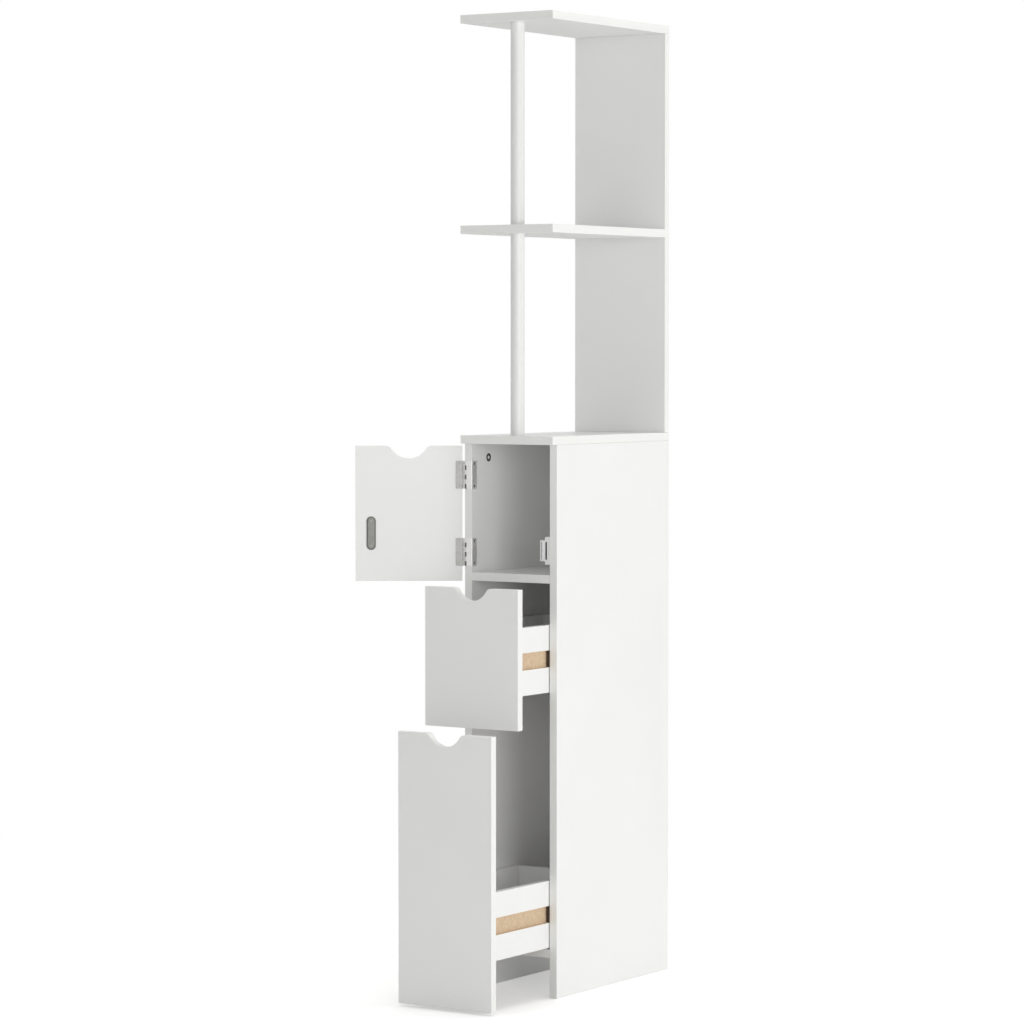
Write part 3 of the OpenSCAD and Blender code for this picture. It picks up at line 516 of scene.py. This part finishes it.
POLISHED_NICKEL = (0.91, 0.905, 0.89, 1)
POLISHED_NICKEL_DULL = (0.85, 0.845, 0.83, 1)
# darker nickel painted on the knuckles as shade in place of their glare
KNUCKLE_SHADE_NICKEL = (0.46, 0.455, 0.445, 1)
KNUCKLE_SHADE_NICKEL_DULL = (0.36, 0.355, 0.345, 1)
SATIN_NICKEL = (0.38, 0.378, 0.365, 1)
SATIN_NICKEL_DULL = (0.34, 0.338, 0.325, 1)
ROUGHER = 0.08  # how far wear takes a plating's roughness up
SMOOTHER = 0.06  # and how far down
BARREL_RADIUS = 2.2 * MM
KNUCKLES = 6
# painted shade on the band behind the hinge slots
SLOT_PAINTED_SHADE = (0.13, 0.13, 0.125, 1)
LEAF_ROUNDING = 0.18 * MM
NOT_DRAWN = (1.0, 1.0, 1.0)
DRAWN_UPRIGHT = (1.0, 1.0, 0.06)
DRAWN_RELIEF = 0.02 * MM
FINE_RELIEF = 0.006 * MM


def plated(name, bright, dull, gloss, drawn=NOT_DRAWN, relief=FINE_RELIEF, metal=1.0):
    """Plated metal: cloudy brightness, a drawn grain and a gloss that varies with wear."""
    material, tree, shader, place = finish_on(name)
    shader.inputs["Metallic"].default_value = metal
    clouds = noise(tree, place, scale=170.0, detail=4.0, roughness=0.6)
    tinted(tree, shader, clouds, dull, bright, dark_to=0.34, pale_from=0.6)
    grain = noise(tree, stretched(tree, place, drawn), scale=2400.0, detail=3.0)
    uneven_gloss(tree, shader, grain, gloss - SMOOTHER, gloss + ROUGHER)
    raised(tree, shader, grain, relief, strength=0.5)
    return material


polished_nickel = plated("polished_nickel_plate", POLISHED_NICKEL, POLISHED_NICKEL_DULL,
                         gloss=0.34, drawn=DRAWN_UPRIGHT, relief=DRAWN_RELIEF)
satin_nickel = plated("satin_nickel_plate", SATIN_NICKEL, SATIN_NICKEL_DULL,
                      gloss=0.42, drawn=DRAWN_UPRIGHT, relief=DRAWN_RELIEF)
knuckle_shade_nickel = plated("knuckle_painted_shade_nickel", KNUCKLE_SHADE_NICKEL, KNUCKLE_SHADE_NICKEL_DULL, gloss=0.36)
slot_shaded_band = coated("slot_shaded_edge_band", BAND, BAND_CLOUD, gloss=0.34, spread=0.01)


def on_the_barrel(middle, normal):
    """1 on the knuckles rolled round the pin, which take a darker nickel as painted shade, and 0
    on the flat leaf.
    """
    away = middle - hinge_line.translation
    return 1 if math.hypot(away.x, away.y) < BARREL_RADIUS else 0


def knuckle_slot_shade_mask(tree, leaf):
    """Mask for painted shade: 1 on every other row of knuckles behind a leaf, from its lowest row
    up, and 0 elsewhere.
    """
    heights = [v.co.z for v in nodes[leaf].data.vertices]
    low, high = min(heights), max(heights)
    row = (high - low) / KNUCKLES
    place = add_node(tree, "ShaderNodeTexCoord").outputs["Object"]
    rows = add_node(tree, "ShaderNodeMapping", {"Vector": place, "Location": (0, 0, 1 - low / row),
                                                "Scale": (0, 0, 1 / row)})
    every_other = add_node(tree, "ShaderNodeTexChecker", {"Vector": rows.outputs[0], "Scale": 1.0})
    level = add_node(tree, "ShaderNodeSeparateXYZ", {"Vector": place})
    behind = add_node(tree, "ShaderNodeMath", {0: level.outputs["Z"], 1: (low + high) / 2,
                                               2: (high - low) / 2}, operation="COMPARE")
    return add_node(tree, "ShaderNodeMath", {0: every_other.outputs["Fac"], 1: behind.outputs[0]},
                    operation="MULTIPLY").outputs[0]


def paint_shade_behind_knuckles(material):
    """Paints shade on the band behind the slots in which the door leaves' knuckles turn, where the
    slots lie in shadow.
    """
    tree = material.node_tree
    shader = tree.nodes["Principled BSDF"]
    tint = shader.inputs["Base Color"].links[0].from_socket
    slot_shaded = add_node(tree, "ShaderNodeMath", {0: knuckle_slot_shade_mask(tree, "upper_hinge_frame_leaf"),
                                               1: knuckle_slot_shade_mask(tree, "lower_hinge_frame_leaf")},
                      operation="ADD").outputs[0]
    slot_shade_mix = add_node(tree, "ShaderNodeMix", {"Factor": slot_shaded}, data_type="RGBA")
    tree.links.new(tint, slot_shade_mix.inputs[6])
    slot_shade_mix.inputs[7].default_value = SLOT_PAINTED_SHADE
    tree.links.new(slot_shade_mix.outputs[2], shader.inputs["Base Color"])


# the left panel's band carries painted shade behind the knuckle slots, where they lie in shadow
paint_shade_behind_knuckles(slot_shaded_band)
nodes["left_side_panel"].data.materials[BANDED] = slot_shaded_band
# the knuckles take the darker nickel of painted shade
for place in ("upper", "lower"):
    for leaf, finish in (("frame_leaf", polished_nickel), ("door_leaf", satin_nickel)):
        dress(f"{place}_hinge_{leaf}", [finish, knuckle_shade_nickel], on_the_barrel)
        ease(f"{place}_hinge_{leaf}", LEAF_ROUNDING)
    dress(f"{place}_hinge_pin", [polished_nickel])


# ---------------------------------------------------------------------------
# Magnetic catch and strike plate
# A moulded white housing grips a plated bar magnet between two dark steel pole plates. They
# catch the oblong strike plate, a plated pressing with a sloping rim, on the door. Its grey is a
# painted reflection of dark surroundings, and its rim carries painted shade.

MOULDED_WHITE = (0.82, 0.82, 0.80, 1)
MOULDED_SHADE = (0.78, 0.78, 0.755, 1)
MAGNET_PLATE = (0.86, 0.85, 0.86, 1)
MAGNET_PLATE_DULL = (0.76, 0.75, 0.76, 1)
POLE_STEEL = (0.40, 0.40, 0.41, 1)
POLE_STEEL_DULL = (0.30, 0.30, 0.31, 1)
# darker grey painted as the strike plate's reflection of dark surroundings
STRIKE_PAINTED_REFLECTION = (0.275, 0.275, 0.257, 1)
STRIKE_PAINTED_REFLECTION_DULL = (0.245, 0.245, 0.228, 1)
# painted shade on the strike plate's sloping rim
STRIKE_RIM_PAINTED_SHADE = (0.175, 0.175, 0.163, 1)
STRIKE_RIM_PAINTED_SHADE_DULL = (0.145, 0.145, 0.135, 1)
STRIKE_SCREW = (0.33, 0.33, 0.31, 1)
STRIKE_SCREW_DULL = (0.25, 0.25, 0.235, 1)
PLASTIC_GLOW = 0.08
PLASTIC_GLOW_REACH = (2 * MM, 2 * MM, 2 * MM)
HOUSING_ROUNDING = 0.4 * MM
POLE_ROUNDING = 0.1 * MM


def moulded_plastic():
    """White plastic as it leaves the mould, with a little light inside it."""
    material, tree, shader, place = finish_on("moulded_white_plastic")
    clouds = noise(tree, place, scale=60.0, detail=3.0)
    tinted(tree, shader, clouds, MOULDED_SHADE, MOULDED_WHITE, dark_to=0.35, pale_from=0.6)
    uneven_gloss(tree, shader, noise(tree, place, scale=300.0), low=0.30, high=0.42)
    shader.inputs["Subsurface Weight"].default_value = PLASTIC_GLOW
    shader.inputs["Subsurface Radius"].default_value = PLASTIC_GLOW_REACH
    raised(tree, shader, noise(tree, place, scale=1800.0), depth=0.03 * MM, strength=0.5)
    return material


dress("catch_housing", [moulded_plastic()])
ease("catch_housing", HOUSING_ROUNDING)
dress("catch_magnet", [plated("magnet_plate", MAGNET_PLATE, MAGNET_PLATE_DULL, gloss=0.5)])
dress("catch_pole_plates", [plated("pole_steel", POLE_STEEL, POLE_STEEL_DULL, gloss=0.45)])
ease("catch_pole_plates", POLE_ROUNDING)
off_the_door = closing.inverted().to_3x3() @ Vector((0, 1, 0))
strike_land_reflection = plated("strike_plate_painted_reflection", STRIKE_PAINTED_REFLECTION, STRIKE_PAINTED_REFLECTION_DULL, gloss=0.5,
                     drawn=DRAWN_UPRIGHT)
strike_rim_shaded = plated("strike_rim_painted_shade", STRIKE_RIM_PAINTED_SHADE, STRIKE_RIM_PAINTED_SHADE_DULL, gloss=0.5)
# the flat land and the sloping rim take lit and shaded copies of the plating
dress("strike_plate", [strike_land_reflection, strike_rim_shaded],
      lambda middle, normal: 0 if normal.dot(off_the_door) > SQUARE else 1)
strike_screw = plated("strike_screw_plate", STRIKE_SCREW, STRIKE_SCREW_DULL, gloss=0.35)
dress("strike_screws", [strike_screw])


# ---------------------------------------------------------------------------
# Cam locks, bolts, screws, nails and dowels
# Die-cast cams turned home in their pockets, headed bolts and screws of bright zinc-plated
# steel, and beech dowels that only show when the tower is taken apart.

DIE_CAST = (0.88, 0.88, 0.86, 1)
DIE_CAST_DULL = (0.80, 0.80, 0.78, 1)
# painted shade in the recess round each cam's boss
CAM_RECESS_PAINTED_SHADE = (0.16, 0.16, 0.155, 1)
CAM_RECESS_PAINTED_SHADE_DULL = (0.10, 0.10, 0.098, 1)
CAM_FACE_DEPTH = 1.32 * MM
CAM_BOSS_RADIUS = 3.1 * MM
CAM_REACH = 22 * MM  # no two corners of a cam are further apart
BRIGHT_ZINC = (0.74, 0.75, 0.76, 1)
BRIGHT_ZINC_DULL = (0.62, 0.63, 0.65, 1)
HINGE_SCREW = (0.42, 0.415, 0.40, 1)
HINGE_SCREW_DULL = (0.32, 0.315, 0.30, 1)
BEECH = (0.62, 0.44, 0.28, 1)
BEECH_DARK = (0.50, 0.33, 0.19, 1)


def beech():
    """Bare beech whose grain runs from side to side."""
    material, tree, shader, place = finish_on("turned_beech")
    sideways = stretched(tree, place, (0.06, 1.0, 1.0))
    grain = noise(tree, sideways, scale=900.0, detail=4.0)
    tinted(tree, shader, grain, BEECH_DARK, BEECH, dark_to=0.36, pale_from=0.62)
    plain_gloss(shader, roughness=0.7)
    raised(tree, shader, grain, depth=0.1 * MM, strength=0.5)
    return material


def cam_boxes(mesh):
    """Middle, axis and half thickness of each cam in a node. Cams stand well apart."""
    cams = []
    for corner in (v.co for v in mesh.vertices):
        near = [cam for cam in cams if (cam[0] - corner).length < CAM_REACH]
        if near:
            near[0].append(corner)
        else:
            cams.append([corner])
    boxes = []
    for cam in cams:
        low = Vector([min(c[i] for c in cam) for i in range(3)])
        high = Vector([max(c[i] for c in cam) for i in range(3)])
        axis = min(range(3), key=lambda i: high[i] - low[i])
        boxes.append(((low + high) / 2, axis, (high[axis] - low[axis]) / 2))
    return boxes


def cast_cams(node, finishes):
    """Gives cams a bright boss, with painted shade on the recessed face round it."""
    boxes = cam_boxes(nodes[node].data)

    def choose(middle, normal):
        centre, axis, half_thick = min(boxes, key=lambda box: (box[0] - middle).length)
        away = middle - centre
        depth = half_thick - abs(away[axis])
        beside = math.sqrt(away.length_squared - away[axis] ** 2)
        # faces in the recess round the boss take the painted shade
        return 1 if depth < CAM_FACE_DEPTH and beside > CAM_BOSS_RADIUS else 0

    dress(node, finishes, choose)


die_cast = plated("die_cast_zinc", DIE_CAST, DIE_CAST_DULL, gloss=0.6, metal=0.4)
recess_painted_shade = plated("cam_recess_painted_shade", CAM_RECESS_PAINTED_SHADE, CAM_RECESS_PAINTED_SHADE_DULL, gloss=0.7)
bright_zinc = plated("bright_zinc_plate", BRIGHT_ZINC, BRIGHT_ZINC_DULL, gloss=0.26)
hinge_screw = plated("hinge_screw_plate", HINGE_SCREW, HINGE_SCREW_DULL, gloss=0.3)
dowel_beech = beech()
for node in nodes:
    kind = node.rsplit("_", 1)[-1]
    if kind == "cams":
        cast_cams(node, [die_cast, recess_painted_shade])
    elif kind == "dowels":
        dress(node, [dowel_beech])
    elif "leaf_screws" in node:
        dress(node, [hinge_screw])
    elif kind in ("bolts", "screws", "screw", "nails", "studs") and node != "strike_screws":
        dress(node, [bright_zinc])
